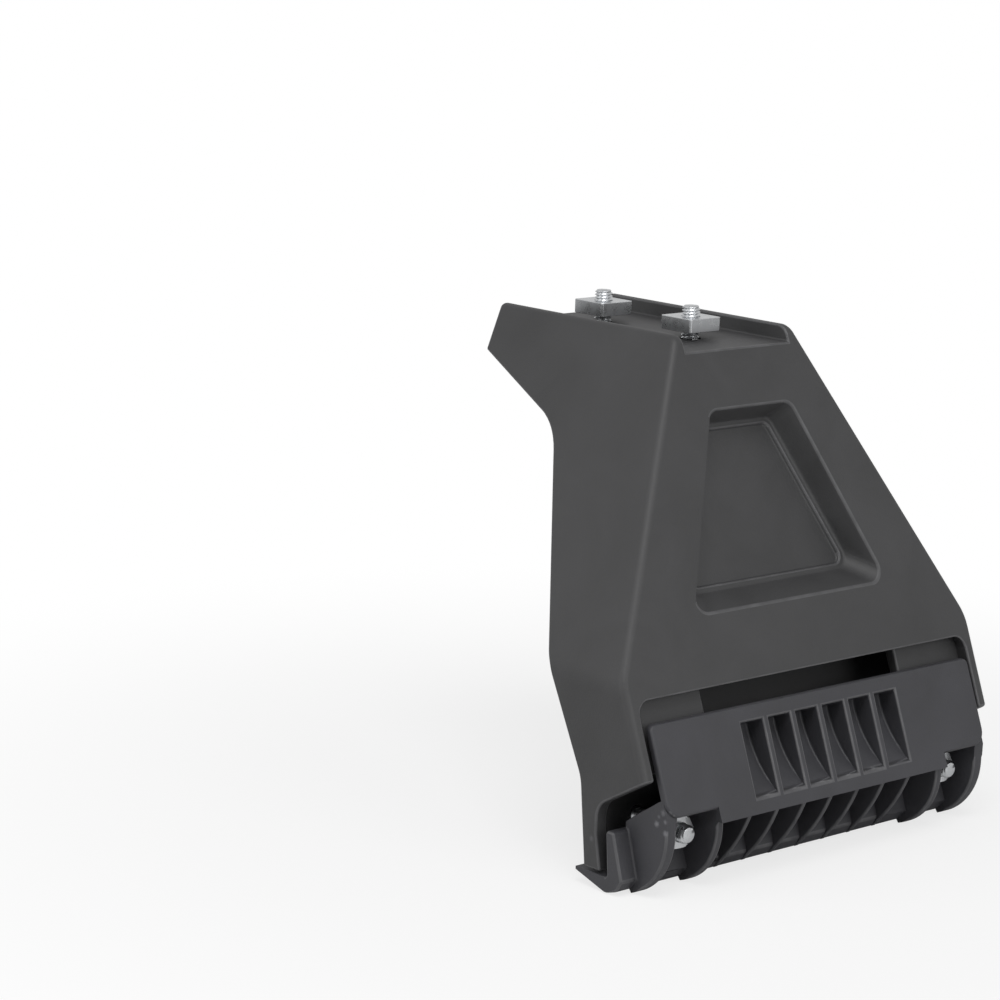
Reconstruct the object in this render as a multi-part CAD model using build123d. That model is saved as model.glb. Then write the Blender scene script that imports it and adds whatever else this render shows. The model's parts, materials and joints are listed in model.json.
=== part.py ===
"""Roof bar foot: a plastic leg that stands in a rain gutter, its bolted gutter clamp and the bar fixings.

Millimetres. The origin is on the gutter seat, under the foot wall's toe at the middle of its length.
X runs along the gutter, +Y points inboard along the bar, +Z is up.
"""
from build123d import *
from math import cos, radians, sin, tan
import os

# Leg: overall form
leg_height = 152.6  # gutter seat to bar saddle
foot_half_width = 79.3  # half of the leg's width along the gutter
saddle_half_width = 29.1  # half of the leg's width at saddle level
side_flare = 28.6  # degrees the upper sides spread from upright
flare_round = 16.0  # radius where the spread sides turn upright
front_lean = 21.4  # degrees the front leans from upright
front_offset = 35.02  # seat line to the front plane, at seat height
saddle_reach = 110.8  # seat line to the inboard end of the saddle
wall = 4.0
side_wall = 4.7
ridge_round = 2.6  # corner between front and sides

# Leg: saddle and arm
lip_height = 5.2
lip_thickness = 3.0  # at the lip's top
lip_front_round = 5.0
saddle_thickness = 6.0
arm_end_height = 14.8
arm_end_slant = 8.5  # degrees
arm_rise = 21.0  # degrees of the arm's underside
arm_root_round = 26.0

# Leg: rear edge and foot
back_lean_upper = 32.0  # degrees
back_lean_lower = 26.9  # degrees
heel_height = 27.6
heel_offset = 5.9  # seat line to the heel
back_round = 14.0  # rear edge's bend and heel
toe_back = 2.8  # seat line in to the toe's rear, at the seat
toe_front = 1.5  # seat line out to the foot wall's front, at the toe
toe_height = 8.6  # upright part of the toe's front
side_toe_front = 4.6  # seat line out to the sides' lower ends
side_toe_height = 12.0  # where the front of those ends turns upright
notch_height = 32.3  # foot of the sides at the front plane
notch_slope = 30.3  # degrees
notch_depth = 2.2  # seat line out to the notch's inner corner
notch_round = 7.0

# Leg: front pocket
pocket_drop = 18.0  # saddle to the pocket's top
pocket_height = 58.5
pocket_top_half = 18.2
pocket_bottom_half = 44.0
pocket_depth = 8.5
pocket_rim_round = 4.5
pocket_top_inset = 3.0
pocket_bottom_inset = 7.0
pocket_side_inset = 6.0
ledge_width = 2.0
ledge_depth = 1.3

# Leg: inside
rib_thickness = 3.0
rib_offset = 16.0  # ribs from the middle
rib_setback = 8.0  # ribs behind the rear edges
foot_wall_height = 64.6
slot_gap = 6.8  # front wall's lower edge to the clamp
slot_corner_round = 4.5
pad_depth = 4.2  # clamp pads behind the front plane
pad_width = 34.9  # in from the leg's sides
pad_bottom = 32.6
pad_lap = 8.0  # pads above the front wall's lower edge

# Clamp
clamp_top = 48.1
clamp_side_gap = 1.8  # clamp's ends to the leg's sides
clamp_proud = 1.0
plate_thickness = 2.6
plate_edge_round = 0.8
plate_corner_round = 5.0
plate_top_round = 2.0
belt_bottom = 17.0
belt_depth = 3.6
shelf_front = 25.0  # height of the shelf at the plate
shelf_slope = 31.0  # degrees
shelf_thickness = 3.0
jaw_gap = 5.0  # toe to the upstand, at rest
upstand_height = 13.8
upstand_top = 3.4
upstand_root = 6.6
upstand_draft = 5.0  # degrees of the gutter side
hook_top = 1.0  # below the seat
hook_reach = 6.2
hook_tip = 1.0
hook_depth = 6.0
heel_width = 4.4
heel_rise = 1.4
upstand_round = 1.2
jaw_root_round = 1.0
hook_heel_round = 3.0

# Clamp: scoops, ribs, webs and nut windows
scoop_count = 6
scoop_pitch = 12.2
scoop_rib = 2.6
scoop_top = 43.6
scoop_bottom = 21.4
scoop_depth = 7.6
scoop_hollow = 2.4  # floor's bow behind a straight line
scoop_wall = 2.2
rib_count = 7
rib_web = 1.6
rib_bulge = 1.6
web_thickness = 3.0
web_bulge = 5.0
web_inset = 2.2  # ribs and webs behind the clamp's front, at the belt
ear_thickness = 4.2
ear_bulge = 4.6
ear_inset = 2.8
window_half = 8.3
window_top = 21.0
nut_seat = 12.0  # seat line out to the face under the washers
seat_clearance = 0.6  # around the washers

# Fasteners: M6
thread = 6.0
hex_flats = 10.0
head_height = 4.0
nut_height = 5.0
washer_outer = 12.0
washer_thickness = 1.6
spring_outer = 10.6
spring_thickness = 1.6
spring_gap = 1.2
spring_slant = 30.0  # degrees
hex_chamfer = 0.6
crown_angle = 30.0  # degrees
point_chamfer = 0.7
clearance_hole = 6.6
bore_clearance = 0.08  # radial, threads left plain
washer_bore = 6.4
clamp_bolt_z = 13.2
clamp_bolt_tail = 3.4
bolt_boss = 17.0
bolt_boss_depth = 6.1  # behind the foot wall
hex_pocket = 3.0
hex_clearance = 0.25

# Fasteners: bar fixing
bar_bolt_inset = 22.0  # saddle ends to the bar bolts
slot_lip = 2.8  # wall of the bar's slot
channel_nut_side = 14.0
channel_nut_height = 4.5
bar_bolt_tail = 3.4

# Worked-out values
LEAN = tan(radians(front_lean))
FLARE = tan(radians(side_flare))
NORMAL = cos(radians(front_lean))
lip_top = leg_height + lip_height
recess_top = clamp_top + slot_gap
channel_half = saddle_half_width - lip_height * FLARE - lip_thickness
ceiling = leg_height - saddle_thickness
pad_inner_edge = foot_half_width - pad_width
clamp_half_length = foot_half_width - side_wall - clamp_side_gap
clamp_bolt_x = clamp_half_length - ear_thickness - window_half
far = 2 * (leg_height + saddle_reach)
same_way = 0.999  # cosine above which two directions count as one
small_step = 0.01


def front_y(z, depth=0.0):
    """The front plane's Y at height z, or that of a plane at some depth behind it."""
    return -front_offset + z * LEAN + depth / NORMAL


def flare_bottom(inset=0.0):
    """Height where the spread sides turn upright, for a form set in from the outside."""
    spread = foot_half_width - inset - saddle_half_width + inset / cos(radians(side_flare))
    return leg_height - spread / FLARE


def meet(p, slope_p, q, slope_q):
    """Where two lines cross: slopes are dY per dZ."""
    z = (q[0] - p[0] + slope_p * p[1] - slope_q * q[1]) / (slope_p - slope_q)
    return (p[0] + slope_p * (z - p[1]), z)


def side_face(points):
    """A face in the YZ plane from (Y, Z) points."""
    return Plane.YZ * make_face(Polyline(*points, close=True))


def across(face, x_from, x_to):
    """Extrude a YZ face between two X values."""
    return Pos(x_from, 0, 0) * extrude(face, x_to - x_from)


def both_sides(shape):
    """A shape and its mirror image across the symmetry plane."""
    return shape + mirror(shape, Plane.YZ)


# Leg: outline seen from the side
back_low = tan(radians(back_lean_lower))
back_high = tan(radians(back_lean_upper))
heel = (heel_offset, heel_height)
bend = (heel_offset + (flare_bottom() - heel_height) * back_low, flare_bottom())
arm_tip = (saddle_reach - arm_end_height * tan(radians(arm_end_slant)), lip_top - arm_end_height)
arm_root = meet(bend, back_high, arm_tip, 1 / tan(radians(arm_rise)))
notch_front = (front_y(notch_height), notch_height)
notch_inner_z = notch_height - (-notch_depth - notch_front[0]) * tan(radians(notch_slope))
notch_inner = (-notch_depth, notch_inner_z)
side_points = [
    (front_y(lip_top), lip_top),
    (saddle_reach, lip_top),
    arm_tip,
    arm_root,
    bend,
    heel,
    (toe_back, 0),
    (-side_toe_front, 0),
    (-notch_depth, side_toe_height),
    notch_inner,
    notch_front,
]


def near(shape, point):
    """The vertex of a YZ face nearest to (Y, Z)."""
    return shape.vertices().sort_by_distance(Vector(0, *point))[0]


def leg_side():
    face = side_face(side_points)
    for point, radius in (
        (side_points[0], lip_front_round),
        (arm_root, arm_root_round),
        (bend, back_round),
        (heel, back_round),
        (notch_inner, notch_round),
    ):
        face = fillet(near(face, point), radius)
    return face


def front_outline(inset=0.0, top=0.0):
    """Outline seen from the front, set in from the outside, extruded along Y."""
    knee = flare_bottom(inset)
    foot = foot_half_width - inset
    crown = saddle_half_width - inset / cos(radians(side_flare)) - top * FLARE
    points = [
        (-foot, -leg_height),
        (foot, -leg_height),
        (foot, knee),
        (crown, leg_height + top),
        (-crown, leg_height + top),
        (-foot, knee),
    ]
    face = Plane.XZ * make_face(Polyline(*points, close=True))
    knees = face.vertices().group_by(Axis.Z)[1]
    face = fillet(knees, flare_round)
    return extrude(face, far, both=True)


def leg_outer():
    """The leg as a full block, with its rounded ridges."""
    block = across(leg_side(), -far, far) & front_outline(top=lip_height)
    lean_normal = Vector(0, -cos(radians(front_lean)), sin(radians(front_lean)))
    front = block.faces().filter_by(lambda f: f.normal_at().dot(lean_normal) > same_way)[0]
    ridges = front.edges().filter_by(lambda e: abs(e.center().X) > saddle_half_width / 2)
    ridges = ridges.filter_by(lambda e: e.length > lip_height)
    return fillet(ridges, ridge_round)


def foot_front(z):
    """The foot wall's front face above the toe."""
    heel_front = heel_offset - wall / cos(radians(back_lean_lower))
    return heel_front + (z - heel_height) * back_low


def leg_cavity():
    """Everything hollow: the clamp recess in front of the foot wall and the space under the saddle."""
    end_inner = saddle_reach - wall
    end_low = end_inner - (ceiling - foot_wall_height) * tan(radians(arm_end_slant))
    points = [
        (-far, -leg_height),
        (-far, recess_top),
        (front_y(recess_top, wall), recess_top),
        (front_y(ceiling, wall), ceiling),
        (end_inner, ceiling),
        (end_low, foot_wall_height),
        (foot_front(foot_wall_height), foot_wall_height),
        (foot_front(heel_height), heel_height),
        (-toe_front, toe_height),
        (-toe_front, -leg_height),
    ]
    return across(side_face(points), -far, far) & front_outline(inset=side_wall)


def pocket_cut(grow=0.0):
    """The front pocket, or its backing when grown by a wall: a tapered trapezium sunk square to the front."""
    top = leg_height - pocket_drop
    plane = Plane(
        origin=(0, front_y(top), top),
        x_dir=(1, 0, 0),
        z_dir=(0, -cos(radians(front_lean)), sin(radians(front_lean))),
    )
    length = pocket_height / NORMAL

    def trapezium(top_half, bottom_half, top_y, bottom_y):
        right = [(top_half, top_y), (bottom_half, bottom_y)]
        left = [(-x, y) for x, y in reversed(right)]
        face = make_face(Polyline(*right, *left, close=True))
        return fillet(face.vertices(), pocket_rim_round + grow)

    rim_face = trapezium(pocket_top_half + grow, pocket_bottom_half + grow, grow, -length - grow)
    floor_face = trapezium(
        pocket_top_half - pocket_top_inset + grow,
        pocket_bottom_half - pocket_side_inset + grow,
        -pocket_top_inset + grow,
        -length + pocket_bottom_inset - grow,
    )
    deep = pocket_depth + grow
    cut = loft([plane * rim_face, plane * Pos(0, 0, -deep) * floor_face])
    if grow:
        return cut
    mouth = plane * extrude(rim_face, ridge_round)
    panel = offset(floor_face, -ledge_width)
    return cut + mouth + plane * Pos(0, 0, -deep) * extrude(panel, -ledge_depth)


bar_bolt_y = [front_y(leg_height) + bar_bolt_inset, saddle_reach - bar_bolt_inset]


def leg_ribs():
    """Two long ribs under the saddle."""
    arm_in = (arm_tip[0] - (arm_tip[1] + rib_setback - ceiling) / tan(radians(arm_rise)), ceiling)
    root_in = (arm_root[0] - rib_setback, arm_root[1] + rib_setback / 2)
    bend_in = (bend[0] - rib_setback, bend[1])
    long_rib = side_face([
        (front_y(ceiling), ceiling),
        arm_in,
        root_in,
        bend_in,
        (front_y(recess_top + wall), recess_top + wall),
    ])
    rib = across(long_rib, rib_offset - rib_thickness / 2, rib_offset + rib_thickness / 2)
    return [rib, mirror(rib, Plane.YZ)]


def clamp_pads():
    """The two faces behind the clamp's ends that its plate bears on."""
    pad = side_face([
        (front_y(pad_bottom, pad_depth), pad_bottom),
        (front_y(recess_top + pad_lap, pad_depth), recess_top + pad_lap),
        (front_y(recess_top + pad_lap, pad_depth + wall), recess_top + pad_lap),
        (front_y(pad_bottom, pad_depth + wall), pad_bottom),
    ])
    plate = across(pad, pad_inner_edge, foot_half_width)
    return [plate, mirror(plate, Plane.YZ)]


def cylinder_y(radius, y_from, y_to, x=0.0, z=0.0):
    return Pos(x, y_from, z) * Rot(-90, 0, 0) * Cylinder(
        radius, y_to - y_from, align=(Align.CENTER, Align.CENTER, Align.MIN)
    )


def hex_y(flats, y_from, y_to, x=0.0, z=0.0):
    outline = RegularPolygon(flats / 2, 6, major_radius=False)
    return Pos(x, y_from, z) * Rot(-90, 0, 0) * extrude(outline, y_to - y_from)


head_seat = heel_offset + bolt_boss_depth - hex_pocket


def bolt_bosses():
    back = heel_offset + bolt_boss_depth
    return both_sides(cylinder_y(bolt_boss / 2, foot_front(heel_height), back, clamp_bolt_x, clamp_bolt_z))


def leg_body():
    outer = leg_outer()
    cavity = leg_cavity()
    leg = outer - cavity
    slot_ends = leg.edges().filter_by_position(Axis.Z, recess_top - small_step, recess_top + small_step)
    slot_ends = slot_ends.filter_by(lambda e: e.length < 2 * wall and abs(e.center().X) > pad_inner_edge)
    leg = fillet(slot_ends, slot_corner_round)
    for piece in leg_ribs() + clamp_pads() + [pocket_cut(grow=wall)]:
        leg += piece & outer
    leg += bolt_bosses()
    leg -= Pos(0, 0, leg_height) * Box(
        2 * channel_half, far, far, align=(Align.CENTER, Align.CENTER, Align.MIN)
    )
    leg -= pocket_cut()
    for x in (-clamp_bolt_x, clamp_bolt_x):
        leg -= cylinder_y(clearance_hole / 2, -far, far, x, clamp_bolt_z)
        leg -= hex_y(hex_flats + 2 * hex_clearance, head_seat, far, x, clamp_bolt_z)
    for y in bar_bolt_y:
        leg -= Pos(0, y, ceiling) * Cylinder(clearance_hole / 2, far)
    return leg


# Clamp
upstand_y = -toe_front - jaw_gap  # gutter side of the upstand, at its top
upstand_front_y = upstand_y - upstand_top
jaw_root_y = upstand_y - (upstand_height + hook_top) * tan(radians(upstand_draft))
heel_corner = (jaw_root_y - heel_width, heel_rise - hook_depth)
shelf_fall = tan(radians(shelf_slope))
window_inner = clamp_bolt_x - window_half
window_outer = clamp_bolt_x + window_half


def clamp_front(z, depth=0.0):
    """The clamp's front plane, or a plane behind it."""
    return front_y(z, depth - clamp_proud)


def square_in(z, depth):
    """A point reached from the clamp's front at height z, square to the plate."""
    return (clamp_front(z) + depth * NORMAL, z - depth * sin(radians(front_lean)))


shelf_y = clamp_front(shelf_front, plate_thickness)
shelf_end_y = (upstand_y + upstand_front_y) / 2
shelf_end_z = shelf_front - (shelf_end_y - shelf_y) * shelf_fall


def jaw_section():
    """Upstand and hook toe, seen from the end."""
    face = side_face([
        (upstand_y, upstand_height),
        (jaw_root_y, -hook_top),
        (hook_reach, -hook_top),
        (hook_reach, -hook_top - hook_tip),
        (jaw_root_y, -hook_depth),
        heel_corner,
        (jaw_root_y - upstand_root, -hook_top),
        (upstand_front_y, upstand_height),
    ])
    for point, radius in (
        ((upstand_y, upstand_height), upstand_round),
        ((upstand_front_y, upstand_height), upstand_round),
        ((jaw_root_y, -hook_top), jaw_root_round),
        (heel_corner, hook_heel_round),
    ):
        face = fillet(near(face, point), radius)
    return face


def plate_section():
    """Sloped plate with its belt, and the shelf that joins it to the upstand."""
    under = shelf_thickness / cos(radians(shelf_slope))
    belt_y = clamp_front(belt_bottom, belt_depth)
    under_z = shelf_front - (belt_y - shelf_y) * shelf_fall - under
    return side_face([
        (clamp_front(clamp_top), clamp_top),
        (clamp_front(belt_bottom), belt_bottom),
        (belt_y, belt_bottom),
        (belt_y, under_z),
        (shelf_end_y, shelf_end_z - under),
        (shelf_end_y, shelf_end_z),
        (shelf_y, shelf_front),
        (clamp_front(clamp_top, plate_thickness), clamp_top),
    ])


def corner_cut(x, z, radius, rise):
    """What rounding takes off a corner seen from the front: rise is 1 at a lower corner, else -1."""
    square = Pos(x, z) * Rectangle(2 * radius, 2 * radius)
    disc = Pos(x - radius, z + rise * radius) * Circle(radius)
    keep = Pos(x - radius - far / 2, z) * Rectangle(far, far)
    above = Pos(x, z + rise * (radius + far / 2)) * Rectangle(far, far)
    return extrude(Plane.XZ * (square - disc - keep - above), far, both=True)


def clamp_plate():
    """Plate and shelf, cut away under both ends for the nuts, with rounded corners."""
    plate = across(plate_section(), -clamp_half_length, clamp_half_length)
    reach = far - window_inner
    opening = Box(reach, far, far, align=(Align.MIN, Align.MAX, Align.MAX))
    plate -= both_sides(Pos(window_inner, -nut_seat, window_top) * opening)
    plate -= both_sides(corner_cut(clamp_half_length, window_top, plate_corner_round, 1))
    plate -= both_sides(corner_cut(clamp_half_length, clamp_top, plate_top_round, -1))
    long_edges = plate.edges().filter_by(lambda e: e.length > clamp_half_length)
    top = long_edges.filter_by(lambda e: e.center().Z > clamp_top - small_step)
    return fillet(top, plate_edge_round)


def bowed(start, end, bow):
    """An arc between two (Y, Z) points, bowed to the left of the way from start to end."""
    run = Vector(*end) - Vector(*start)
    side = Vector(-run.Y, run.X).normalized()
    middle = Vector(*start) + run / 2 + side * bow
    return ThreePointArc(start, middle, end)


def scoop_block():
    """Thick middle of the plate, with a row of scoops that run out at their lower ends."""
    half = scoop_count * scoop_pitch / 2
    middle = (scoop_top + scoop_bottom) / 2
    block = side_face([
        (clamp_front(scoop_top), scoop_top),
        square_in(scoop_top + scoop_wall, plate_thickness),
        square_in(scoop_top + scoop_wall, scoop_depth + scoop_wall),
        square_in(middle, scoop_depth + scoop_wall),
        (clamp_front(belt_bottom, belt_depth), scoop_bottom),
        (clamp_front(belt_bottom), belt_bottom),
    ])
    return across(block, -half, half)


def scoops():
    """The wedges cut from the plate's front."""
    deep = square_in(scoop_top, scoop_depth)
    runout = square_in(scoop_bottom, 0)
    rest = Polyline(
        runout,
        square_in(scoop_bottom, -plate_thickness),
        square_in(scoop_top, -plate_thickness),
        deep,
    )
    wedge = Plane.YZ * make_face([bowed(deep, runout, scoop_hollow), rest])
    width = scoop_pitch - scoop_rib
    first = -(scoop_count - 1) * scoop_pitch / 2
    cuts = [across(wedge, first + i * scoop_pitch - width / 2, first + i * scoop_pitch + width / 2)
            for i in range(scoop_count)]
    return Part() + cuts


def web_face(inset, end, bulge, crest):
    """Side view of a web or rib: a bowed edge from the belt to the hook, then up to a crest at the plate."""
    start = (clamp_front(belt_bottom, inset), belt_bottom)
    rest = Polyline(
        end,
        (shelf_end_y, -hook_top),
        (shelf_end_y, shelf_end_z),
        (clamp_front(crest, plate_thickness), crest),
        (clamp_front(crest, plate_thickness / 2), crest),
        (clamp_front(window_top, plate_thickness / 2), window_top),
        start,
    )
    return Plane.YZ * make_face([bowed(start, end, -bulge), rest])


def washer_seat():
    """Block behind each nut window that the washers bear on."""
    seat_top = clamp_bolt_z + washer_outer / 2 + seat_clearance
    block = side_face([
        (-nut_seat, seat_top),
        (-nut_seat, -hook_top),
        (upstand_y, -hook_top),
        (upstand_y, shelf_end_z),
    ])
    return across(block, window_inner, window_outer)


def gutter_clamp():
    clamp = clamp_plate() + scoop_block()
    clamp -= scoops()
    clamp += across(jaw_section(), -foot_half_width, foot_half_width)
    web_end = (heel_corner[0], -hook_depth)
    web = web_face(web_inset, web_end, web_bulge, shelf_front)
    ear = web_face(ear_inset, web_end, ear_bulge, window_top + plate_corner_round)
    clamp += both_sides(across(web, window_inner - web_thickness, window_inner))
    clamp += both_sides(across(ear, window_outer, clamp_half_length))
    seat_bottom = clamp_bolt_z - washer_outer / 2 - seat_clearance
    seat_cut = Box(2 * window_half, far, window_top - seat_bottom, align=(Align.CENTER, Align.MAX, Align.MIN))
    clamp -= both_sides(Pos(clamp_bolt_x, -nut_seat, seat_bottom) * seat_cut)
    clamp += both_sides(washer_seat())
    rib = web_face(web_inset, heel_corner, rib_bulge, shelf_front)
    first = -(rib_count - 1) * scoop_pitch / 2
    for i in range(rib_count):
        x = first + i * scoop_pitch
        clamp += across(rib, x - rib_web / 2, x + rib_web / 2)
    for x in (-clamp_bolt_x, clamp_bolt_x):
        clamp -= cylinder_y(clearance_hole / 2, -far, far, x, clamp_bolt_z)
    return clamp


# Fasteners, made along +Z from the face under the head or nut
def hexagon(height):
    """Hexagon prism with its corners turned off at the far end."""
    prism = extrude(RegularPolygon(hex_flats / 2, 6, major_radius=False), height)
    crown = hex_flats / 2 / cos(radians(30)) - hex_chamfer
    skirt = crown + height / tan(radians(crown_angle))
    cone = Cone(skirt, crown, height, align=(Align.CENTER, Align.CENTER, Align.MIN))
    return prism & cone


def bolt(length):
    """Hex bolt: head above the seat at Z=0, shank below it."""
    shank = Cylinder(thread / 2, length, align=(Align.CENTER, Align.CENTER, Align.MAX))
    shank = chamfer(shank.edges().group_by(Axis.Z)[0], point_chamfer)
    return hexagon(head_height) + shank


def nut():
    """Hex nut, with a plain bore that runs on the thread."""
    blank = hexagon(nut_height)
    return blank - Cylinder(thread / 2 + bore_clearance, far)


def ring(outer, bore, thickness):
    blank = Cylinder(outer / 2, thickness, align=(Align.CENTER, Align.CENTER, Align.MIN))
    return blank - Cylinder(bore / 2, far)


def spring_washer():
    """Split ring, cut at a slant."""
    slit = Box(spring_outer, spring_gap, far, align=(Align.MIN, Align.CENTER, Align.CENTER))
    blank = ring(spring_outer, washer_bore, spring_thickness)
    return blank - Pos(0, 0, spring_thickness / 2) * Rot(spring_slant, 0, 0) * slit


def channel_nut():
    """Square nut that lies in the bar's slot."""
    outline = Rectangle(channel_nut_side, channel_nut_side)
    block = extrude(outline, channel_nut_height)
    block = chamfer(block.edges().filter_by(Axis.Z), hex_chamfer)
    return block - Cylinder(thread / 2 + bore_clearance, far)


def outward(shape, x, y):
    """Turn a fastener from +Z to outboard, and set it on a clamp bolt's line."""
    return Pos(x, y, clamp_bolt_z) * Rot(90, 0, 0) * shape


def clamp_fastenings(x):
    """Bolt held in the leg, then washer, spring washer and nut outside the clamp."""
    spring_y = -nut_seat - washer_thickness
    nut_y = spring_y - spring_thickness
    length = head_seat - nut_y + nut_height + clamp_bolt_tail
    inward_bolt = Pos(x, head_seat, clamp_bolt_z) * Rot(-90, 0, 0) * bolt(length)
    return {
        "clamp_bolt": inward_bolt,
        "clamp_washer": outward(ring(washer_outer, washer_bore, washer_thickness), x, -nut_seat),
        "clamp_spring_washer": outward(spring_washer(), x, spring_y),
        "clamp_nut": outward(nut(), x, nut_y),
    }


def bar_fastenings(y):
    """Bolt up through the saddle from below, with its washers, and the nut for the bar's slot."""
    spring_z = ceiling - washer_thickness
    head_z = spring_z - spring_thickness
    nut_z = leg_height + slot_lip
    length = nut_z + channel_nut_height + bar_bolt_tail - head_z
    return {
        "bar_bolt": Pos(0, y, head_z) * Rot(180, 0, 0) * bolt(length),
        "bar_washer": Pos(0, y, spring_z) * ring(washer_outer, washer_bore, washer_thickness),
        "bar_spring_washer": Pos(0, y, head_z) * spring_washer(),
        "channel_nut": Pos(0, y, nut_z) * channel_nut(),
    }


parts = {"leg_body": leg_body(), "gutter_clamp": gutter_clamp()}
for side, x in (("left", -clamp_bolt_x), ("right", clamp_bolt_x)):
    for name, shape in clamp_fastenings(x).items():
        parts[f"{name}_{side}"] = shape
for end, y in zip(("outboard", "inboard"), bar_bolt_y):
    for name, shape in bar_fastenings(y).items():
        parts[f"{name}_{end}"] = shape

os.makedirs("parts", exist_ok=True)
for name, shape in parts.items():
    export_step(shape, f"parts/{name}.step")
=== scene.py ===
"""Roof bar foot: the looks of its mouldings and fastenings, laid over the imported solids."""
import json
from math import pi, radians, tan

import bmesh
import bpy
from bpy.props import FloatProperty, FloatVectorProperty, IntProperty, PointerProperty
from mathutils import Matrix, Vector
from mathutils.bvhtree import BVHTree
from mathutils.geometry import intersect_point_line

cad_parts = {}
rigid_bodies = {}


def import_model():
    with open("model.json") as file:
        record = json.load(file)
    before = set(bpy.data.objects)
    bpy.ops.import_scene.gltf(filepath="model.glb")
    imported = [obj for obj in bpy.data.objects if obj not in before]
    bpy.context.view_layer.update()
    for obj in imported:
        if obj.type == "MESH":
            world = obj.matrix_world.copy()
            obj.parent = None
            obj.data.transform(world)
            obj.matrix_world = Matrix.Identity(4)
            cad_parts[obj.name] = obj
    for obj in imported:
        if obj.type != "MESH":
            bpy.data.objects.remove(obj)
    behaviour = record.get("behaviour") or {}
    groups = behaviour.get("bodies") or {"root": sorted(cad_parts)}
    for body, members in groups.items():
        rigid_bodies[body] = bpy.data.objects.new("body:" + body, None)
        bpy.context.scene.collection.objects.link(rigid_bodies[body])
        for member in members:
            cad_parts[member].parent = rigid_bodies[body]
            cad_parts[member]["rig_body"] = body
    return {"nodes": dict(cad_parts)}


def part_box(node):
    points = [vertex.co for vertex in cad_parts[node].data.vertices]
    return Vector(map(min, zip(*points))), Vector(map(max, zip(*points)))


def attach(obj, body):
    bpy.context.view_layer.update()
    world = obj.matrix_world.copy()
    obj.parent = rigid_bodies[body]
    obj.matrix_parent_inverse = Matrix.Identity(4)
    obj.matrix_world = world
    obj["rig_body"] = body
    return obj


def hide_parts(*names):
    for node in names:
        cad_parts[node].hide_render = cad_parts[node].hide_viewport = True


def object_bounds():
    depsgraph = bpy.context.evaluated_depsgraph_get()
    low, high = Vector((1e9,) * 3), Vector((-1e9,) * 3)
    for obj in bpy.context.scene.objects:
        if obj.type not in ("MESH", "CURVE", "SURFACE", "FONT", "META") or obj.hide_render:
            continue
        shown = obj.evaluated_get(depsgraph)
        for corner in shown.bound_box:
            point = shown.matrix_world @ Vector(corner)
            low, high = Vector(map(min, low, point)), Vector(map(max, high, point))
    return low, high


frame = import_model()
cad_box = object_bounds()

bl_info = {
    "name": "Roof Bar Foot",
    "version": (1, 0, 0),
    "blender": (4, 5, 0),
    "location": "View3D > Sidebar > Roof Bar Foot",
    "description": "Dresses a gutter-mounted roof bar foot: mouldings, fastenings and a studio",
    "category": "Object",
}

MM = 0.001
WHITE = (1.0, 1.0, 1.0, 1.0)

# Meshes
WELD_DISTANCE = 1e-6
FLAT_ANGLE = radians(0.2)  # faces that turn by less make one flat
SMOOTH_ANGLE = radians(38)  # edges that turn by more are shaded sharp
FLAT_WEIGHT = 100  # how strongly the large faces set the shading of a round
BEVEL_TRIES = 6
BEVEL_SEGMENTS = 2
SHANK_SLACK = 0.1 * MM  # faces this close outside the thread's radius are the shank's
HEAD_END_SHARE = 0.9  # of a bolt's half length: faces further towards the head are its end
THREAD_COLUMNS = 5
THREAD_WELD = 2e-6

# Moulded nylon
NYLON_IOR = 1.53
NOISE_SPAN = {"From Min": 0.3, "From Max": 0.7}  # where most of a noise's values lie
CLOUD_TONE = {"To Min": 0.78, "To Max": 1.22}  # the clouds' darkest and palest share of the colour
CLOUD_SATIN = 0.05  # roughness that the clouds take off and add
GRAIN_SATIN = 0.12  # roughness that the grain adds
GRAIN_BUMP = {"Strength": 0.45, "Distance": 0.12 * MM}
# Paler edges, partly wear and partly a painted highlight, come in patches this wide
WEAR_AND_HIGHLIGHT_PATCH = 6 * MM
RUB_SATIN = -0.16  # roughness that rubbing takes off
SPOT_GRAIN = 0.8 * MM
SPOT_RAGGED = 0.8  # how far the grain moves a spot's border, as a share of its size
SPOT_FADE = {"From Min": 1.7, "From Max": 0.4}  # a spot's border and core, as shares of its size

# Zinc plate
DULL_PATCH = 3.5 * MM
DULL_SPAN = {"From Min": 0.4, "From Max": 0.75, "To Min": 0.0, "To Max": 0.5}
DULL_BLUR = 0.16  # roughness that dulling adds
RUB_BRIGHTENS = -0.7  # dulling that rubbing takes off
KNOCK = 0.45 * MM
KNOCK_BUMP = {"Strength": 0.04, "Distance": 0.01 * MM}

# Studio
SENSOR_WIDTH = 36.0
CLIP_START = 0.05
FLOOR_SIDES = 96
# The paper's share of white, by the distance from the origin in metres
PAPER_FADE = {"From Min": 0.12, "From Max": 0.42, "To Min": 0.75, "To Max": 1.0}

BOLT_DIRECTIONS = {
    "clamp_bolt_left": (0, -1, 0),
    "clamp_bolt_right": (0, -1, 0),
    "bar_bolt_outboard": (0, 0, 1),
    "bar_bolt_inboard": (0, 0, 1),
}
NUTS = ("clamp_nut_left", "clamp_nut_right", "channel_nut_outboard", "channel_nut_inboard")
WASHERS = (
    "clamp_washer_left",
    "clamp_washer_right",
    "clamp_spring_washer_left",
    "clamp_spring_washer_right",
    "bar_washer_outboard",
    "bar_washer_inboard",
    "bar_spring_washer_outboard",
    "bar_spring_washer_inboard",
)
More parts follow.
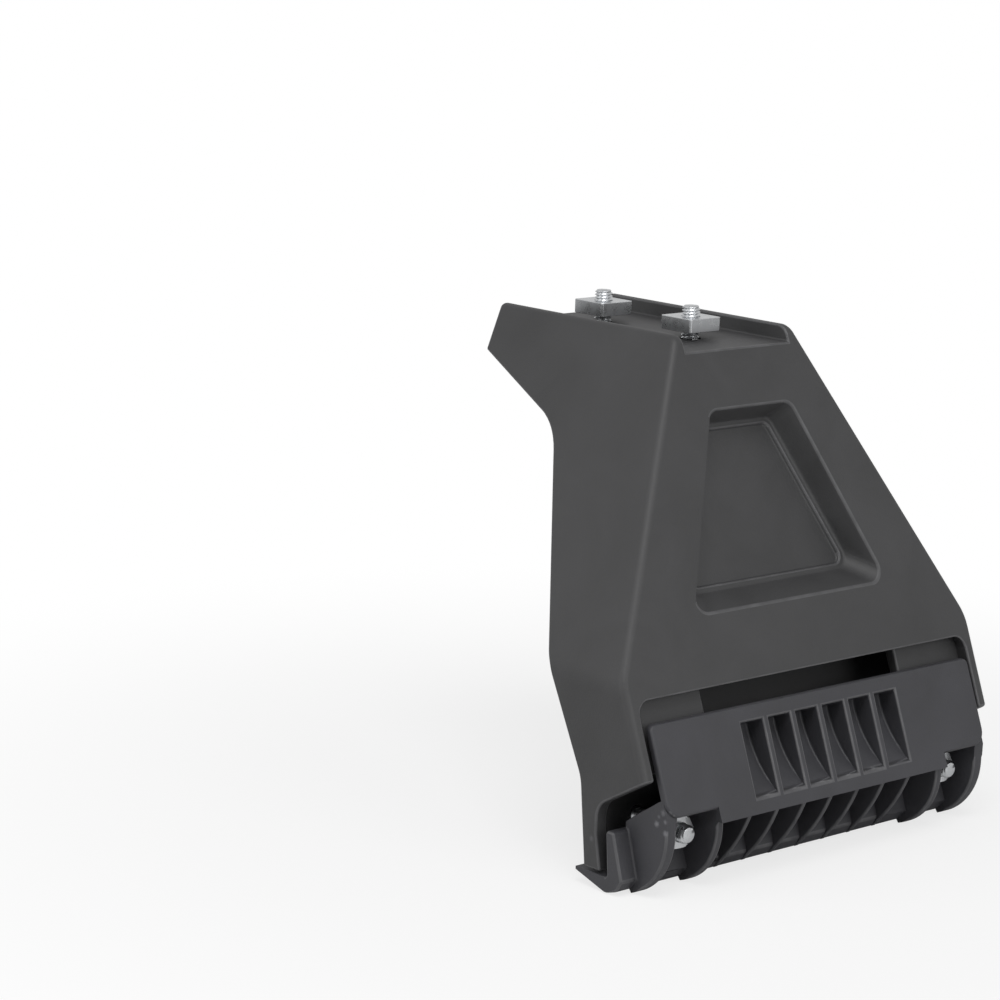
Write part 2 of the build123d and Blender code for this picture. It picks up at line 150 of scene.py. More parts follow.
# Pale spots painted on the clamp's left ear and the foot of the leg's left side:
# place and size in mm, and strength.
EAR_PALE_SPOTS = (
    ((-72.8, -22.1, 18.7), 1.1, 0.9),
    ((-72.8, -25.7, 20.2), 0.8, 0.7),
    ((-72.8, -25.9, 16.6), 1.1, 0.9),
    ((-72.8, -24.7, 22.8), 1.1, 0.5),
    ((-72.8, -22.9, 21.2), 0.7, 0.4),
)
FOOT_PALE_SPOTS = (((-79.3, -0.4, 9.5), 1.0, 0.3),)
# The thread's sums, in order: a name, an operation and what it works on.
# A grid of five columns is wound up the axis, one turn a pitch: root, flank, crest, flank and root.
# As on a metric thread, flanks lean by 30 degrees and the crest is an eighth of the pitch wide.
# There is a spare turn at each end. Both ends run out on a 45 degree cone, the tail's a little
# below the root, and the strip's first and last edges close on the axis.
# A turn counts as whole from 0.999, because the rows are rounded.
THREAD_SUMS = (
    ("span", "DIVIDE", "Length", "Pitch"),
    ("whole", "CEIL", "span"),
    ("turns", "ADD", "whole", 2.0),
    ("rows", "MULTIPLY", "turns", "Steps"),
    ("rungs", "ADD", "rows", 1.0),
    ("half rows", "MULTIPLY", "rows", 0.5),
    ("column", "ADD", "across", 2.0),
    ("column", "ROUND", "column"),
    ("row", "ADD", "along", "half rows"),
    ("turn", "DIVIDE", "row", "Steps"),
    ("root", "SUBTRACT", "Radius", "Depth"),
    ("flank", "MULTIPLY", "Depth", tan(radians(30))),
    ("crest", "DIVIDE", "Pitch", 8.0),
    ("root width", "MULTIPLY_ADD", "flank", -2.0, "Pitch"),
    ("root width", "SUBTRACT", "root width", "crest"),
    ("up", "MINIMUM", "column", 1.0),
    ("top", "SUBTRACT", "column", 1.0),
    ("top", "MAXIMUM", "top", 0.0),
    ("top", "MINIMUM", "top", 1.0),
    ("down", "SUBTRACT", "column", 2.0),
    ("down", "MAXIMUM", "down", 0.0),
    ("down", "MINIMUM", "down", 1.0),
    ("bottom", "SUBTRACT", "column", 3.0),
    ("bottom", "MAXIMUM", "bottom", 0.0),
    ("flanks", "ADD", "up", "down"),
    ("rise", "MULTIPLY", "flanks", "flank"),
    ("rise", "MULTIPLY_ADD", "top", "crest", "rise"),
    ("rise", "MULTIPLY_ADD", "bottom", "root width", "rise"),
    ("off crest", "SUBTRACT", "column", 1.5),
    ("off crest", "ABSOLUTE", "off crest"),
    ("on crest", "LESS_THAN", "off crest", 1.0),
    ("reach", "MULTIPLY_ADD", "on crest", "Depth", "root"),
    ("lift", "SUBTRACT", "turn", 1.0),
    ("height", "MULTIPLY_ADD", "lift", "Pitch", "rise"),
    ("height", "MAXIMUM", "height", 0.0),
    ("height", "MINIMUM", "height", "Length"),
    ("head cone", "ADD", "root", "height"),
    ("left over", "SUBTRACT", "Length", "height"),
    ("tail cone", "MULTIPLY_ADD", "root", 0.97, "left over"),
    ("reach", "MINIMUM", "reach", "head cone"),
    ("reach", "MINIMUM", "reach", "tail cone"),
    ("first column", "LESS_THAN", "column", 0.5),
    ("first turn", "LESS_THAN", "turn", 0.999),
    ("first", "MULTIPLY", "first column", "first turn"),
    ("last column", "GREATER_THAN", "column", 3.5),
    ("last start", "SUBTRACT", "turns", 0.999),
    ("last turn", "GREATER_THAN", "turn", "last start"),
    ("last", "MULTIPLY", "last column", "last turn"),
    ("ends", "ADD", "first", "last"),
    ("between", "SUBTRACT", 1.0, "ends"),
    ("reach", "MULTIPLY", "reach", "between"),
    ("angle", "MULTIPLY", "turn", 2 * pi),
    ("cosine", "COSINE", "angle"),
    ("sine", "SINE", "angle"),
    ("x", "MULTIPLY", "reach", "cosine"),
    ("y", "MULTIPLY", "reach", "sine"),
)


def linear(code):
    """An sRGB hex colour as linear red, green and blue."""
    channels = [int(code[i:i + 2], 16) / 255 for i in (1, 3, 5)]
    return [c / 12.92 if c <= 0.04045 else ((c + 0.055) / 1.055) ** 2.4 for c in channels]


def add(tree, kind, inputs=None, **settings):
    """Add one node to a tree: its settings, then its inputs, each a value or a socket to link."""
    node = tree.nodes.new(kind)
    for name, value in settings.items():
        setattr(node, name, value)
    for name, value in (inputs or {}).items():
        if isinstance(value, bpy.types.NodeSocket):
            tree.links.new(value, node.inputs[name])
        else:
            node.inputs[name].default_value = value
    return node


class MouldingFinish(bpy.types.PropertyGroup):
    """Sizes and colours of the charcoal mouldings."""
    edge_radius: FloatProperty(
        name="Edge radius", description="Rounding of the mouldings' edges",
        default=0.7 * MM, min=0.0, unit="LENGTH", precision=5)
    sharp_angle: FloatProperty(
        name="Sharp angle", description="Edges that turn by more than this are rounded",
        default=radians(24), subtype="ANGLE")
    leg_colour: FloatVectorProperty(
        name="Leg colour", description="Charcoal of the leg",
        size=3, subtype="COLOR", default=linear("#343435"), min=0.0, max=1.0)
    clamp_colour: FloatVectorProperty(
        name="Clamp colour", description="Slightly cooler charcoal of the clamp",
        size=3, subtype="COLOR", default=linear("#343438"), min=0.0, max=1.0)
    # Paler grey of the rounded edges: partly wear, partly a painted highlight
    rubbed_and_highlight_colour: FloatVectorProperty(
        name="Rubbed colour", description="Grey of handled edges",
        size=3, subtype="COLOR", default=linear("#5c5c5e"), min=0.0, max=1.0)
    # Pale grey of the pale spots painted into the colour
    spot_colour: FloatVectorProperty(
        name="Scuff colour", description="Pale grey of stressed and scuffed spots",
        size=3, subtype="COLOR", default=linear("#76767a"), min=0.0, max=1.0)
    roughness: FloatProperty(
        name="Roughness", description="Satin of the moulded skin",
        default=0.5, min=0.0, max=1.0, subtype="FACTOR")
    grain: FloatProperty(
        name="Grain", description="Width of the eroded tool's grain",
        default=0.5 * MM, min=0.00001, unit="LENGTH", precision=5)
    flow: FloatProperty(
        name="Flow clouds", description="Width of the faint clouds where the melt flowed",
        default=34 * MM, min=0.001, unit="LENGTH", precision=4)


class FasteningFinish(bpy.types.PropertyGroup):
    """Sizes and colours of the plated fastenings."""
    pitch: FloatProperty(
        name="Thread pitch", description="Rise of the M6 thread in one turn",
        default=1.0 * MM, min=0.0001, unit="LENGTH", precision=5)
    depth: FloatProperty(
        name="Thread depth", description="Crest to root",
        default=0.61 * MM, min=0.0, unit="LENGTH", precision=5)
    radius: FloatProperty(
        name="Thread radius", description="Axis to crest",
        default=3.0 * MM, min=0.0, unit="LENGTH", precision=5)
    steps: IntProperty(
        name="Steps", description="Faces round one turn of the thread",
        default=36, min=8, max=96)
    edge_radius: FloatProperty(
        name="Edge radius", description="Rounding of forged and turned edges",
        default=0.16 * MM, min=0.0, unit="LENGTH", precision=5)
    sharp_angle: FloatProperty(
        name="Sharp angle", description="Edges that turn by more than this are rounded",
        default=radians(24), subtype="ANGLE")
    zinc_colour: FloatVectorProperty(
        name="Zinc colour", description="Bright zinc plate",
        size=3, subtype="COLOR", default=linear("#cdcfd1"), min=0.0, max=1.0)
    dull_colour: FloatVectorProperty(
        name="Dull colour", description="Zinc that has dulled",
        size=3, subtype="COLOR", default=linear("#aeb0b3"), min=0.0, max=1.0)
    roughness: FloatProperty(
        name="Roughness", description="Blur of the bright plate's reflections",
        default=0.26, min=0.0, max=1.0, subtype="FACTOR")


class StudioSettings(bpy.types.PropertyGroup):
    """Camera, lamps and floor."""
    camera_place: FloatVectorProperty(
        name="Camera place", description="Where the camera stands",
        size=3, subtype="TRANSLATION", unit="LENGTH", default=(-0.6829, -0.6443, 0.2961))
    camera_turn: FloatVectorProperty(
        name="Camera turn", description="How the camera is turned",
        size=3, subtype="EULER",
        default=(radians(78.369), radians(-1.847), radians(-40.728)))
    lens: FloatProperty(
        name="Lens", description="Focal length in millimetres",
        default=108.07, min=1.0, unit="CAMERA")
    floor_radius: FloatProperty(
        name="Floor radius", description="Half the floor's width",
        default=3.0, min=0.1, unit="LENGTH")
    floor_gap: FloatProperty(
        name="Floor gap", description="Floor below the lowest point",
        default=0.2 * MM, min=0.0, unit="LENGTH", precision=5)
    floor_colour: FloatVectorProperty(
        name="Floor colour", description="Pale floor",
        size=3, subtype="COLOR", default=linear("#f4f4f4"), min=0.0, max=1.0)
    ambience: FloatProperty(
        name="Ambience", description="Light from the white walls", default=0.28, min=0.0)
    sheen: FloatProperty(
        name="Sheen", description="The white walls' level in reflections", default=0.7, min=0.0)
    key_power: FloatProperty(
        name="Key power", description="Softbox above the front",
        default=6.4, min=0.0, unit="POWER")
    key_size: FloatProperty(
        name="Key size", description="Width of the softbox above the front",
        default=0.6, min=0.01, unit="LENGTH")
    key_place: FloatVectorProperty(
        name="Key place", description="Where the softbox above the front hangs",
        size=3, subtype="TRANSLATION", unit="LENGTH", default=(-0.45, -0.45, 1.1))
    fill_power: FloatProperty(
        name="Fill power", description="Softbox before the front",
        default=2.4, min=0.0, unit="POWER")
    fill_size: FloatProperty(
        name="Fill size", description="Width of the softbox before the front",
        default=0.5, min=0.01, unit="LENGTH")
    fill_place: FloatVectorProperty(
        name="Fill place", description="Where the softbox before the front stands",
        size=3, subtype="TRANSLATION", unit="LENGTH", default=(0.05, -0.95, 0.4))
    side_power: FloatProperty(
        name="Side power", description="Softbox beside the left side",
        default=2.4, min=0.0, unit="POWER")
    side_size: FloatProperty(
        name="Side size", description="Width of the softbox beside the left side",
        default=0.6, min=0.01, unit="LENGTH")
    side_place: FloatVectorProperty(
        name="Side place", description="Where the softbox beside the left side stands",
        size=3, subtype="TRANSLATION", unit="LENGTH", default=(-0.95, 0.3, 0.45))


def charcoal_nylon(name, finish, colour, pale_spots):
    """Moulded charcoal nylon for one piece, with that piece's pale spots."""
    # Glass-filled nylon from a spark-eroded tool: nearly black, and greyed by a broad satin sheen.
    # Faint clouds show where the melt flowed. Edges are rubbed smoother and painted paler:
    # partly wear, partly a painted highlight where the rounds catch the light. Pale spots are
    # painted on.
    material = bpy.data.materials.new(name)
    material.use_nodes = True
    tree = material.node_tree
    tree.nodes.clear()
    place = add(tree, "ShaderNodeTexCoord").outputs["Object"]
    flow = add(tree, "ShaderNodeTexNoise", {
        "Vector": place, "Scale": 1 / finish.flow, "Detail": 4.0, "Roughness": 0.55,
        "Distortion": 0.7})
    clouds = add(tree, "ShaderNodeMapRange", {
        "Value": flow.outputs[0], **NOISE_SPAN, **CLOUD_TONE})
    # The eroded grain of about 0.05 mm is drawn ten times as coarse, so that it shows from here.
    grain = add(tree, "ShaderNodeTexNoise", {
        "Vector": place, "Scale": 1 / finish.grain, "Detail": 2.5, "Roughness": 0.6})
    tone = add(tree, "ShaderNodeVectorMath", {
        0: list(colour), "Scale": clouds.outputs[0]}, operation="SCALE")
    # Paler rounded edges: partly edge wear, partly a painted highlight.
    wear_and_highlight = add(tree, "ShaderNodeAttribute", attribute_name="edge_wear_and_highlight")
    patchy = add(tree, "ShaderNodeTexNoise", {
        "Vector": place, "Scale": 1 / WEAR_AND_HIGHLIGHT_PATCH, "Detail": 3.0})
    worn_and_highlit = add(tree, "ShaderNodeMath", {
        0: wear_and_highlight.outputs["Fac"], 1: patchy.outputs[0]}, operation="MULTIPLY")
    skin = add(tree, "ShaderNodeMix", {
        0: worn_and_highlit.outputs[0], 6: tone.outputs[0], 7: [*finish.rubbed_and_highlight_colour, 1.0]},
        data_type="RGBA")
    # Pale spots painted into the colour at the listed places.
    ragged = add(tree, "ShaderNodeTexNoise", {
        "Vector": place, "Scale": 1 / SPOT_GRAIN, "Detail": 2.0})
    spots = None
    for centre, size, strength in pale_spots:
        away = add(tree, "ShaderNodeVectorMath", {
            0: place, 1: [c * MM for c in centre]}, operation="DISTANCE")
        reach = add(tree, "ShaderNodeMath", {
            0: away.outputs["Value"], 1: 1 / (size * MM)}, operation="MULTIPLY")
        edge = add(tree, "ShaderNodeMath", {
            0: ragged.outputs[0], 1: SPOT_RAGGED, 2: reach.outputs[0]},
            operation="MULTIPLY_ADD")
        spot = add(tree, "ShaderNodeMapRange", {
            "Value": edge.outputs[0], **SPOT_FADE, "To Min": 0.0, "To Max": strength},
            interpolation_type="SMOOTHSTEP").outputs[0]
        if spots is None:
            spots = spot
        else:
            spots = add(tree, "ShaderNodeMath", {
                0: spots, 1: spot}, operation="MAXIMUM").outputs[0]
    spotted = add(tree, "ShaderNodeMix", {
        0: spots, 6: skin.outputs[2], 7: [*finish.spot_colour, 1.0]}, data_type="RGBA")
    satin = add(tree, "ShaderNodeMapRange", {
        "Value": flow.outputs[0], **NOISE_SPAN,
        "To Min": finish.roughness - CLOUD_SATIN, "To Max": finish.roughness + CLOUD_SATIN})
    grit = add(tree, "ShaderNodeMath", {
        0: grain.outputs[0], 1: GRAIN_SATIN, 2: satin.outputs[0]}, operation="MULTIPLY_ADD")
    polish = add(tree, "ShaderNodeMath", {
        0: worn_and_highlit.outputs[0], 1: RUB_SATIN, 2: grit.outputs[0]}, operation="MULTIPLY_ADD")
    bump = add(tree, "ShaderNodeBump", {**GRAIN_BUMP, "Height": grain.outputs[0]})
    shader = add(tree, "ShaderNodeBsdfPrincipled", {
        "Base Color": spotted.outputs[2], "Roughness": polish.outputs[0], "IOR": NYLON_IOR,
        "Normal": bump.outputs[0]})
    add(tree, "ShaderNodeOutputMaterial", {"Surface": shader.outputs[0]})
    return material


def zinc_plated_steel(finish):
    """Barrel-plated zinc on cold-formed steel, made once for all the fastenings."""
    # Zinc plate with a clear passivate: a pale grey metal with a blue cast and blurred reflections.
    # It dulls in patches a few millimetres across, and tumbling leaves fine knocks all over it.
    found = bpy.data.materials.get("zinc plated steel")
    if found:
        return found
    material = bpy.data.materials.new("zinc plated steel")
    material.use_nodes = True
    tree = material.node_tree
    tree.nodes.clear()
    place = add(tree, "ShaderNodeTexCoord").outputs["Object"]
    dull = add(tree, "ShaderNodeTexNoise", {
        "Vector": place, "Scale": 1 / DULL_PATCH, "Detail": 4.0, "Roughness": 0.6,
        "Distortion": 0.4})
    knocks = add(tree, "ShaderNodeTexNoise", {
        "Vector": place, "Scale": 1 / KNOCK, "Detail": 3.0})
    patch = add(tree, "ShaderNodeMapRange", {"Value": dull.outputs[0], **DULL_SPAN})
    wear_and_highlight = add(tree, "ShaderNodeAttribute", attribute_name="edge_wear_and_highlight")
    dulled = add(tree, "ShaderNodeMath", {
        0: wear_and_highlight.outputs["Fac"], 1: RUB_BRIGHTENS, 2: patch.outputs[0]},
        operation="MULTIPLY_ADD", use_clamp=True)
    tone = add(tree, "ShaderNodeMix", {
        0: dulled.outputs[0], 6: [*finish.zinc_colour, 1.0], 7: [*finish.dull_colour, 1.0]},
        data_type="RGBA")
    blur = add(tree, "ShaderNodeMath", {
        0: dulled.outputs[0], 1: DULL_BLUR, 2: finish.roughness}, operation="MULTIPLY_ADD")
    bump = add(tree, "ShaderNodeBump", {**KNOCK_BUMP, "Height": knocks.outputs[0]})
    shader = add(tree, "ShaderNodeBsdfPrincipled", {
        "Base Color": tone.outputs[2], "Metallic": 1.0, "Roughness": blur.outputs[0],
        "Normal": bump.outputs[0]})
    add(tree, "ShaderNodeOutputMaterial", {"Surface": shader.outputs[0]})
    return material


def welded(node):
    """A solid's faces as one closed mesh, with its flats made whole."""
    bm = bmesh.new()
    bm.from_mesh(frame["nodes"][node].data)
    bmesh.ops.remove_doubles(bm, verts=bm.verts, dist=WELD_DISTANCE)
    bmesh.ops.dissolve_limit(bm, angle_limit=FLAT_ANGLE, verts=bm.verts, edges=bm.edges)
    open_edges = [e for e in bm.edges if len(e.link_faces) != 2]
    if open_edges:
        raise RuntimeError(f"{node} has {len(open_edges)} edges that don't join two faces")
    return bm


def break_edges(bm, radius, sharp_angle):
    """A mesh with its sharp edges rounded, and the outer ones marked to be painted paler, as wear
    and as a painted highlight.

    Corners too cramped for a round stay sharp.
    """
    surface = BVHTree.FromBMesh(bm)
    cramped = []
    for _ in range(BEVEL_TRIES):
        rounded = bm.copy()
        wear_and_highlight = rounded.faces.layers.float.new("edge_wear_and_highlight")
        sharp = [e for e in rounded.edges if e.calc_face_angle() > sharp_angle
                 and not any(touches(e, place, 2 * radius) for place in cramped)]
        made = bmesh.ops.bevel(
            rounded, geom=sharp, offset=radius, offset_type="OFFSET", segments=BEVEL_SEGMENTS,
            profile=0.5, affect="EDGES", clamp_overlap=False, loop_slide=True)
        rounded.normal_update()
        folded = []
        for face in made["faces"]:
            centre = face.calc_center_median()
            place, normal = surface.find_nearest(centre)[:2]
            # Outer rounds are marked for the paler edge colour: wear and a painted highlight.
            face[wear_and_highlight] = float((centre - place).dot(normal) < 0)
            if face.normal.dot(normal) < 0:
                folded.append(face)
        # A point that leaves the solid is the tip of a spike, and the points it joins are the
        # cramped corner. So are the points of a new face that is folded over.
        gaps = {v: surface.find_nearest(v.co)[3] for v in rounded.verts}
        spikes = [v for v in rounded.verts if gaps[v] > radius]
        if not spikes and not folded:
            bm.free()
            return rounded
        joined = [e.other_vert(v) for v in spikes for e in v.link_edges]
        joined += [v for face in folded for v in face.verts]
        cramped += [v.co.copy() for v in joined if gaps[v] <= radius]
        rounded.free()
    raise RuntimeError("a rounded edge leaves the solid or folds over")


def touches(edge, place, reach):
    """Whether an edge passes within reach of a place."""
    start, end = (v.co for v in edge.verts)
    share = intersect_point_line(place, start, end)[1]
    return (start.lerp(end, min(max(share, 0.0), 1.0)) - place).length < reach


def finished_piece(name, bm, node, material):
    """A piece from a mesh: flats shaded flat, rounds smooth, riding where its solid rides."""
    mesh = bpy.data.meshes.new(name)
    bm.to_mesh(mesh)
    bm.free()
    mesh.materials.append(material)
    mesh.shade_smooth()
    mesh.set_sharp_from_angle(angle=SMOOTH_ANGLE)
    piece = bpy.data.objects.new(name, mesh)
    bpy.context.scene.collection.objects.link(piece)
    weights = piece.modifiers.new("weights", "WEIGHTED_NORMAL")
    weights.keep_sharp = True
    weights.weight = FLAT_WEIGHT
    graph = bpy.context.evaluated_depsgraph_get()
    piece.data = bpy.data.meshes.new_from_object(
        piece.evaluated_get(graph), preserve_all_data_layers=True, depsgraph=graph)
    piece.modifiers.clear()
    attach(piece, frame["nodes"][node]["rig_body"])
    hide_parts(node)


def thread_tree():
    """Geometry nodes for a bolt's thread: one strip, wound up the Z axis."""
    found = bpy.data.node_groups.get("wound thread")
    if found:
        return found
    tree = bpy.data.node_groups.new("wound thread", "GeometryNodeTree")
    sockets = tree.interface
    for name in ("Length", "Pitch", "Depth", "Radius"):
        sockets.new_socket(name, in_out="INPUT", socket_type="NodeSocketFloat")
    sockets.new_socket("Steps", in_out="INPUT", socket_type="NodeSocketInt")
    sockets.new_socket("Material", in_out="INPUT", socket_type="NodeSocketMaterial")
    sockets.new_socket("Geometry", in_out="OUTPUT", socket_type="NodeSocketGeometry")
    values = {socket.name: socket for socket in add(tree, "NodeGroupInput").outputs}
    at = add(tree, "ShaderNodeSeparateXYZ", {0: add(tree, "GeometryNodeInputPosition").outputs[0]})
    values["across"] = at.outputs["X"]
    values["along"] = at.outputs["Y"]
    for name, operation, *operands in THREAD_SUMS:
        inputs = {i: values.get(operand, operand) for i, operand in enumerate(operands)}
        values[name] = add(tree, "ShaderNodeMath", inputs, operation=operation).outputs[0]
    grid = add(tree, "GeometryNodeMeshGrid", {
        "Size X": THREAD_COLUMNS - 1, "Size Y": values["rows"],
        "Vertices X": THREAD_COLUMNS, "Vertices Y": values["rungs"]})
    wound = add(tree, "ShaderNodeCombineXYZ", {
        "X": values["x"], "Y": values["y"], "Z": values["height"]})
    placed = add(tree, "GeometryNodeSetPosition", {
        "Geometry": grid.outputs[0], "Position": wound.outputs[0]})
    closed = add(tree, "GeometryNodeMergeByDistance", {
        "Geometry": placed.outputs[0], "Distance": THREAD_WELD})
    outward = add(tree, "GeometryNodeFlipFaces", {"Mesh": closed.outputs[0]})
    real = add(tree, "GeometryNodeRealizeInstances", {"Geometry": outward.outputs[0]})
    plated = add(tree, "GeometryNodeSetMaterial", {
        "Geometry": real.outputs[0], "Material": values["Material"]})
    add(tree, "NodeGroupOutput", {"Geometry": plated.outputs[0]})
    return tree


def wound_thread(length, finish, material):
    """The thread of one bolt as a plain mesh, from its seat up the Z axis."""
    carrier = bpy.data.objects.new("thread", bpy.data.meshes.new("thread"))
    bpy.context.scene.collection.objects.link(carrier)
    tree = thread_tree()
    winding = carrier.modifiers.new("winding", "NODES")
    winding.node_group = tree
    values = {
        "Length": length, "Pitch": finish.pitch, "Depth": finish.depth, "Radius": finish.radius,
        "Steps": finish.steps, "Material": material,
    }
    for item in tree.interface.items_tree:
        if item.in_out == "INPUT":
            winding[item.identifier] = values[item.name]
    graph = bpy.context.evaluated_depsgraph_get()
    mesh = bpy.data.meshes.new_from_object(carrier.evaluated_get(graph), depsgraph=graph)
    bpy.data.objects.remove(carrier)
    if not mesh.polygons:
        raise RuntimeError("the thread has no faces")
    return mesh


def bolt_piece(node, direction, finish):
    """A hexagon head from the solid, and a wound thread in place of its plain shank."""
    material = zinc_plated_steel(finish)
    along = Vector(direction)
    low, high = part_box(node)
    middle = (low + high) / 2
    bm = welded(node)

    def off_axis(point):
        return (point - middle - along * (point - middle).dot(along)).length

    half_length = (high - low).dot(Vector(map(abs, along))) / 2
    head_end = -HEAD_END_SHARE * half_length
    shank = [f for f in bm.faces
             if all(off_axis(v.co) < finish.radius + SHANK_SLACK for v in f.verts)
             and (f.calc_center_median() - middle).dot(along) > head_end]
    bmesh.ops.delete(bm, geom=shank, context="FACES")
    seat = max((v.co - middle).dot(along) for v in bm.verts)
    tail = max((corner - middle).dot(along) for corner in (low, high))
    bmesh.ops.holes_fill(bm, edges=[e for e in bm.edges if e.is_boundary])
    bm = break_edges(bm, finish.edge_radius, finish.sharp_angle)
    thread = wound_thread(tail - seat, finish, material)
    turn = along.to_track_quat("Z", "Y").to_matrix().to_4x4()
    turn.translation = middle + along * seat
    thread.transform(turn)
    bm.from_mesh(thread)
    finished_piece(f"{node}_m6", bm, node, material)


class LegMoulding(bpy.types.Operator):
    """Dress the leg: rounded edges and moulded charcoal nylon"""
    bl_idname = "roof_foot.leg_moulding"
    bl_label = "Leg moulding"

    def execute(self, context):
        finish = context.scene.roof_foot_moulding
        material = charcoal_nylon("charcoal nylon, leg", finish, finish.leg_colour, FOOT_PALE_SPOTS)
        bm = break_edges(welded("leg_body"), finish.edge_radius, finish.sharp_angle)
        finished_piece("leg_moulding", bm, "leg_body", material)
        return {"FINISHED"}


class ClampMoulding(bpy.types.Operator):
    """Dress the gutter clamp: rounded edges, moulded charcoal nylon and pale spots on its ear"""
    bl_idname = "roof_foot.clamp_moulding"
    bl_label = "Clamp moulding"

    def execute(self, context):
        finish = context.scene.roof_foot_moulding
        material = charcoal_nylon("charcoal nylon, clamp", finish, finish.clamp_colour, EAR_PALE_SPOTS)
        bm = break_edges(welded("gutter_clamp"), finish.edge_radius, finish.sharp_angle)
        finished_piece("clamp_moulding", bm, "gutter_clamp", material)
        return {"FINISHED"}


class Bolts(bpy.types.Operator):
    """Make the clamp bolts and bar bolts, with wound threads"""
    bl_idname = "roof_foot.bolts"
    bl_label = "Bolts"

    def execute(self, context):
        for node, direction in BOLT_DIRECTIONS.items():
            bolt_piece(node, direction, context.scene.roof_foot_fastening)
        return {"FINISHED"}


class NutsAndWashers(bpy.types.Operator):
    """Dress the hexagon nuts, channel nuts, plain washers and split washers"""
    bl_idname = "roof_foot.nuts_and_washers"
    bl_label = "Nuts and washers"

    def execute(self, context):
        finish = context.scene.roof_foot_fastening
        material = zinc_plated_steel(finish)
        for node in NUTS + WASHERS:
            bm = break_edges(welded(node), finish.edge_radius, finish.sharp_angle)
            finished_piece(f"{node}_plated", bm, node, material)
        return {"FINISHED"}


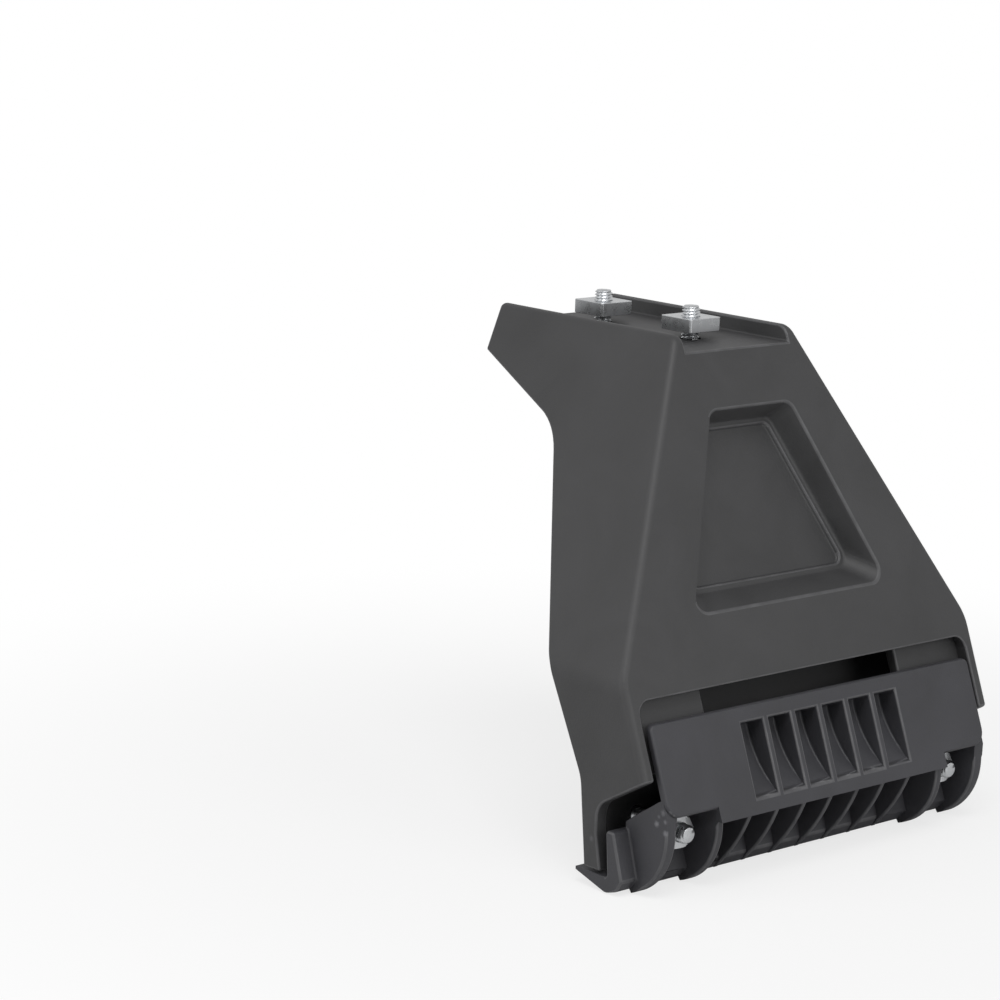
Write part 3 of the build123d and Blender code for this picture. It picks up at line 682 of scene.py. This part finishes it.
class Studio(bpy.types.Operator):
    """Set the camera, the softboxes, the white walls and the pale floor"""
    bl_idname = "roof_foot.studio"
    bl_label = "Studio"

    def execute(self, context):
        scene = context.scene
        look = scene.roof_foot_studio
        scene.view_settings.view_transform = "Standard"
        camera = bpy.data.objects.new("camera", bpy.data.cameras.new("camera"))
        camera.location = look.camera_place
        camera.rotation_euler = look.camera_turn
        camera.data.lens = look.lens
        camera.data.sensor_width = SENSOR_WIDTH
        camera.data.clip_start = CLIP_START
        scene.collection.objects.link(camera)
        scene.camera = camera
        centre = (cad_box[0] + cad_box[1]) / 2
        for name, power, size, place in (
            ("key softbox", look.key_power, look.key_size, look.key_place),
            ("fill softbox", look.fill_power, look.fill_size, look.fill_place),
            ("side softbox", look.side_power, look.side_size, look.side_place),
        ):
            lamp = bpy.data.objects.new(name, bpy.data.lights.new(name, "AREA"))
            lamp.data.size = size
            lamp.data.energy = power
            lamp.location = place
            lamp.rotation_euler = (centre - lamp.location).to_track_quat("-Z", "Y").to_euler()
            scene.collection.objects.link(lamp)

        world = bpy.data.worlds.new("white walls")
        world.use_nodes = True
        tree = world.node_tree
        tree.nodes.clear()
        path = add(tree, "ShaderNodeLightPath").outputs
        sheen = add(tree, "ShaderNodeMath", {
            0: path["Is Glossy Ray"], 1: look.sheen}, operation="MULTIPLY")
        level = add(tree, "ShaderNodeMath", {
            0: sheen.outputs[0], 1: look.ambience}, operation="MAXIMUM")
        level = add(tree, "ShaderNodeMath", {
            0: level.outputs[0], 1: path["Is Camera Ray"]}, operation="MAXIMUM")
        walls = add(tree, "ShaderNodeBackground", {
            "Color": WHITE, "Strength": level.outputs[0]})
        add(tree, "ShaderNodeOutputWorld", {"Surface": walls.outputs[0]})
        scene.world = world

        # Matt paper: it keeps a soft shadow near the foot, and pales to the walls' white beyond.
        paper = bpy.data.materials.new("pale matt paper")
        paper.use_nodes = True
        tree = paper.node_tree
        tree.nodes.clear()
        path = add(tree, "ShaderNodeLightPath").outputs
        place = add(tree, "ShaderNodeTexCoord").outputs["Object"]
        away = add(tree, "ShaderNodeVectorMath", {0: place}, operation="LENGTH")
        pale = add(tree, "ShaderNodeMapRange", {
            "Value": away.outputs["Value"], **PAPER_FADE}, interpolation_type="SMOOTHSTEP")
        share = add(tree, "ShaderNodeMath", {
            0: pale.outputs[0], 1: path["Is Camera Ray"]}, operation="MULTIPLY")
        matt = add(tree, "ShaderNodeBsdfDiffuse", {"Color": [*look.floor_colour, 1.0]})
        white = add(tree, "ShaderNodeEmission", {"Color": WHITE, "Strength": 1.0})
        mixed = add(tree, "ShaderNodeMixShader", {
            0: share.outputs[0], 1: matt.outputs[0], 2: white.outputs[0]})
        add(tree, "ShaderNodeOutputMaterial", {"Surface": mixed.outputs[0]})

        bm = bmesh.new()
        bmesh.ops.create_circle(
            bm, cap_ends=True, segments=FLOOR_SIDES, radius=look.floor_radius)
        bmesh.ops.translate(bm, verts=bm.verts, vec=(0, 0, cad_box[0].z - look.floor_gap))
        mesh = bpy.data.meshes.new("floor")
        bm.to_mesh(mesh)
        bm.free()
        mesh.materials.append(paper)
        floor = bpy.data.objects.new("floor", mesh)
        scene.collection.objects.link(floor)
        return {"FINISHED"}


class RoofFootPanel(bpy.types.Panel):
    """Lists the steps that dress the roof bar foot"""
    bl_idname = "VIEW3D_PT_roof_foot"
    bl_label = "Roof bar foot"
    bl_space_type = "VIEW_3D"
    bl_region_type = "UI"
    bl_category = "Roof Bar Foot"

    def draw(self, context):
        for step in STEPS:
            self.layout.operator(step.bl_idname)
        for group in (context.scene.roof_foot_moulding, context.scene.roof_foot_fastening,
                      context.scene.roof_foot_studio):
            box = self.layout.box()
            for name in group.bl_rna.properties.keys():
                if name not in ("rna_type", "name"):
                    box.prop(group, name)


STEPS = (LegMoulding, ClampMoulding, Bolts, NutsAndWashers, Studio)
CLASSES = (MouldingFinish, FasteningFinish, StudioSettings, *STEPS, RoofFootPanel)


def register():
    for kind in CLASSES:
        bpy.utils.register_class(kind)
    bpy.types.Scene.roof_foot_moulding = PointerProperty(type=MouldingFinish)
    bpy.types.Scene.roof_foot_fastening = PointerProperty(type=FasteningFinish)
    bpy.types.Scene.roof_foot_studio = PointerProperty(type=StudioSettings)


def unregister():
    del bpy.types.Scene.roof_foot_moulding
    del bpy.types.Scene.roof_foot_fastening
    del bpy.types.Scene.roof_foot_studio
    for kind in reversed(CLASSES):
        bpy.utils.unregister_class(kind)


def main():
    register()
    bpy.ops.roof_foot.leg_moulding()
    bpy.ops.roof_foot.clamp_moulding()
    bpy.ops.roof_foot.bolts()
    bpy.ops.roof_foot.nuts_and_washers()
    bpy.ops.roof_foot.studio()


if __name__ == "__main__":
    main()
